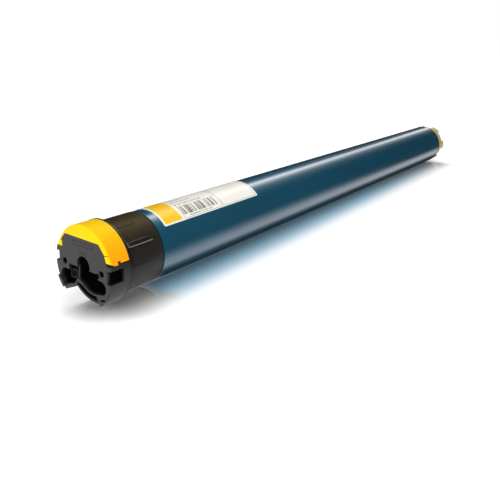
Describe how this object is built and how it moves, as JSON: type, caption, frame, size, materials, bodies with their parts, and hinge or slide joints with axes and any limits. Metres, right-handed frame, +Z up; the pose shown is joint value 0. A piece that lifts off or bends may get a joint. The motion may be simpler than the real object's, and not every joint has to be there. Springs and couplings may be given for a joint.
{
  "type": "tubular roller blind motor",
  "caption": "Tubular motor for a roller blind: moulded head with set buttons under a yellow cover, turning crown, long metal tube and a lugged output drive.",
  "frame": {"origin": "on the motor's axis, in the plane of the head's face, midway between the two fixing holes", "axes": "+X along the motor's axis from the head to the output drive, +Z up through the set buttons, +Y to the left when the head's face is seen from in front"},
  "size_m": [0.5361, 0.0518, 0.0518],
  "materials": {
    "head_plastic": "dark grey moulded plastic, fine satin grain",
    "cover_yellow": "bright yellow moulded plastic",
    "button_white": "pale moulded plastic",
    "pad_rubber": "black rubber",
    "inlet_grey": "grey moulded plastic",
    "pin_brass": "tinned brass contact pins",
    "crown_plastic": "black-brown moulded plastic",
    "tube_paint": "glossy metallic teal-blue coat on steel",
    "label_paper": null,
    "rivet_steel": "steel rivets",
    "nylon_natural": "natural nylon",
    "screw_steel": "turned steel",
    "switch_black": "black switch body",
    "capacitor_case": "drawn aluminium can",
    "wire_insulation": "soft wire insulation",
    "cast_alloy": "die-cast alloy",
    "coil_copper": "enamelled copper winding",
    "spring_steel": "spring steel",
    "core_steel": "stacked electrical steel",
    "lining_fibre": "brake lining",
    "bearing_steel": "ground bearing steel",
    "gear_steel": "sintered gear steel",
    "cap_plastic": "black moulded plastic",
    "bush_bronze": "sintered bronze bush",
    "drive_gold": "gold-yellow moulded plastic"
  },
  "bodies": {
    "housing": {"head_body": "head_plastic", "inlet_socket": "inlet_grey", "inlet_pins": "pin_brass", "button_pads": "pad_rubber", "motor_tube": "tube_paint", "rating_label": "label_paper", "tube_rivets": "rivet_steel", "limit_frame": "nylon_natural", "micro_switch_near": "switch_black", "micro_switch_far": "switch_black", "capacitor": "capacitor_case", "capacitor_clip": "nylon_natural", "lead_wires": "wire_insulation", "brake_housing": "core_steel", "brake_coil": "coil_copper", "brake_springs": "spring_steel", "front_end_shield": "cast_alloy", "front_bearing": "bearing_steel", "stator_core": "core_steel", "stator_windings": "coil_copper", "rear_bearing": "bearing_steel", "rear_end_shield": "cast_alloy", "ring_gear": "gear_steel", "end_cap": "cap_plastic", "output_bush": "bush_bronze"},
    "cover": {"button_cover": "cover_yellow"},
    "near_button": {"set_button_near": "button_white"},
    "far_button": {"set_button_far": "button_white"},
    "crown_ring": {"crown": "crown_plastic"},
    "near_screw": {"lead_screw_near": "screw_steel", "limit_pinion_near": "nylon_natural"},
    "far_screw": {"lead_screw_far": "screw_steel", "limit_pinion_far": "nylon_natural"},
    "near_nut": {"limit_nut_near": "nylon_natural"},
    "far_nut": {"limit_nut_far": "nylon_natural"},
    "armature": {"brake_armature": "core_steel"},
    "rotor": {"rotor_core": "core_steel", "rotor_shaft": "screw_steel", "brake_disc": "lining_fibre", "sun_gear_1": "gear_steel"},
    "stage_1": {"carrier_1": "gear_steel", "sun_gear_2": "gear_steel"},
    "stage_2": {"carrier_2": "gear_steel", "sun_gear_3": "gear_steel"},
    "output": {"output_carrier": "gear_steel", "output_drive": "drive_gold", "output_clip": "spring_steel"},
    "planet_1_1": {"planet_gear_1_1": "gear_steel"},
    "planet_1_2": {"planet_gear_1_2": "gear_steel"},
    "planet_1_3": {"planet_gear_1_3": "gear_steel"},
    "planet_2_1": {"planet_gear_2_1": "gear_steel"},
    "planet_2_2": {"planet_gear_2_2": "gear_steel"},
    "planet_2_3": {"planet_gear_2_3": "gear_steel"},
    "planet_3_1": {"planet_gear_3_1": "gear_steel"},
    "planet_3_2": {"planet_gear_3_2": "gear_steel"},
    "planet_3_3": {"planet_gear_3_3": "gear_steel"}
  },
  "joints": [
    {"name": "cover_slide", "type": "slide", "parent": "housing", "child": "cover", "axis": [-1, 0, 0], "range_m": [0, 0.016]},
    {"name": "near_button_press", "type": "slide", "parent": "housing", "child": "near_button", "axis": [0, 0, -1], "range_m": [0, 0.0015], "stiffness_N_per_m": 200},
    {"name": "far_button_press", "type": "slide", "parent": "housing", "child": "far_button", "axis": [0, 0, -1], "range_m": [0, 0.0015], "stiffness_N_per_m": 200},
    {"name": "crown_spin", "type": "hinge", "parent": "housing", "child": "crown_ring", "pos_m": [0.028, 0, 0], "axis": [1, 0, 0], "range_deg": [-2160, 2160]},
    {"name": "near_screw_spin", "type": "hinge", "parent": "housing", "child": "near_screw", "pos_m": [0.03, -0.01003, 0.01348], "axis": [1, 0, 0], "range_deg": [-9800, 9800]},
    {"name": "near_nut_travel", "type": "slide", "parent": "housing", "child": "near_nut", "axis": [1, 0, 0], "range_m": [-0.0219, 0.0219]},
    {"name": "far_screw_spin", "type": "hinge", "parent": "housing", "child": "far_screw", "pos_m": [0.03, 0.01003, 0.01348], "axis": [1, 0, 0], "range_deg": [-9800, 9800]},
    {"name": "far_nut_travel", "type": "slide", "parent": "housing", "child": "far_nut", "axis": [1, 0, 0], "range_m": [-0.0219, 0.0219]},
    {"name": "armature_pull", "type": "slide", "parent": "housing", "child": "armature", "axis": [-1, 0, 0], "range_m": [0, 0.00035]},
    {"name": "rotor_spin", "type": "hinge", "parent": "housing", "child": "rotor", "pos_m": [0.3, 0, 0], "axis": [1, 0, 0], "continuous": true},
    {"name": "stage_1_spin", "type": "hinge", "parent": "housing", "child": "stage_1", "pos_m": [0.3966, 0, 0], "axis": [1, 0, 0], "continuous": true},
    {"name": "planet_1_1_spin", "type": "hinge", "parent": "stage_1", "child": "planet_1_1", "pos_m": [0.3886, 0.01155, 0], "axis": [1, 0, 0], "continuous": true},
    {"name": "planet_1_2_spin", "type": "hinge", "parent": "stage_1", "child": "planet_1_2", "pos_m": [0.3886, -0.00577, 0.01], "axis": [1, 0, 0], "continuous": true},
    {"name": "planet_1_3_spin", "type": "hinge", "parent": "stage_1", "child": "planet_1_3", "pos_m": [0.3886, -0.00577, -0.01], "axis": [1, 0, 0], "continuous": true},
    {"name": "stage_2_spin", "type": "hinge", "parent": "housing", "child": "stage_2", "pos_m": [0.4142, 0, 0], "axis": [1, 0, 0], "continuous": true},
    {"name": "planet_2_1_spin", "type": "hinge", "parent": "stage_2", "child": "planet_2_1", "pos_m": [0.4062, 0.01155, 0], "axis": [1, 0, 0], "continuous": true},
    {"name": "planet_2_2_spin", "type": "hinge", "parent": "stage_2", "child": "planet_2_2", "pos_m": [0.4062, -0.00577, 0.01], "axis": [1, 0, 0], "continuous": true},
    {"name": "planet_2_3_spin", "type": "hinge", "parent": "stage_2", "child": "planet_2_3", "pos_m": [0.4062, -0.00577, -0.01], "axis": [1, 0, 0], "continuous": true},
    {"name": "output_spin", "type": "hinge", "parent": "housing", "child": "output", "pos_m": [0.4378, 0, 0], "axis": [1, 0, 0], "continuous": true},
    {"name": "planet_3_1_spin", "type": "hinge", "parent": "output", "child": "planet_3_1", "pos_m": [0.4298, 0.01155, 0], "axis": [1, 0, 0], "continuous": true},
    {"name": "planet_3_2_spin", "type": "hinge", "parent": "output", "child": "planet_3_2", "pos_m": [0.4298, -0.00577, 0.01], "axis": [1, 0, 0], "continuous": true},
    {"name": "planet_3_3_spin", "type": "hinge", "parent": "output", "child": "planet_3_3", "pos_m": [0.4298, -0.00577, -0.01], "axis": [1, 0, 0], "continuous": true}
  ],
  "couplings": [
    {"joint": "near_screw_spin", "follows": "crown_spin", "ratio": 4.5},
    {"joint": "near_nut_travel", "follows": "crown_spin", "m_per_rad": 0.00057296},
    {"joint": "far_screw_spin", "follows": "crown_spin", "ratio": 4.5},
    {"joint": "far_nut_travel", "follows": "crown_spin", "m_per_rad": 0.00057296},
    {"joint": "stage_1_spin", "follows": "rotor_spin", "ratio": 0.18182},
    {"joint": "planet_1_1_spin", "follows": "rotor_spin", "ratio": -0.46753},
    {"joint": "planet_1_2_spin", "follows": "rotor_spin", "ratio": -0.46753},
    {"joint": "planet_1_3_spin", "follows": "rotor_spin", "ratio": -0.46753},
    {"joint": "stage_2_spin", "follows": "rotor_spin", "ratio": 0.033058},
    {"joint": "planet_2_1_spin", "follows": "rotor_spin", "ratio": -0.085006},
    {"joint": "planet_2_2_spin", "follows": "rotor_spin", "ratio": -0.085006},
    {"joint": "planet_2_3_spin", "follows": "rotor_spin", "ratio": -0.085006},
    {"joint": "output_spin", "follows": "rotor_spin", "ratio": 0.0060105},
    {"joint": "planet_3_1_spin", "follows": "rotor_spin", "ratio": -0.015456},
    {"joint": "planet_3_2_spin", "follows": "rotor_spin", "ratio": -0.015456},
    {"joint": "planet_3_3_spin", "follows": "rotor_spin", "ratio": -0.015456}
  ]
}
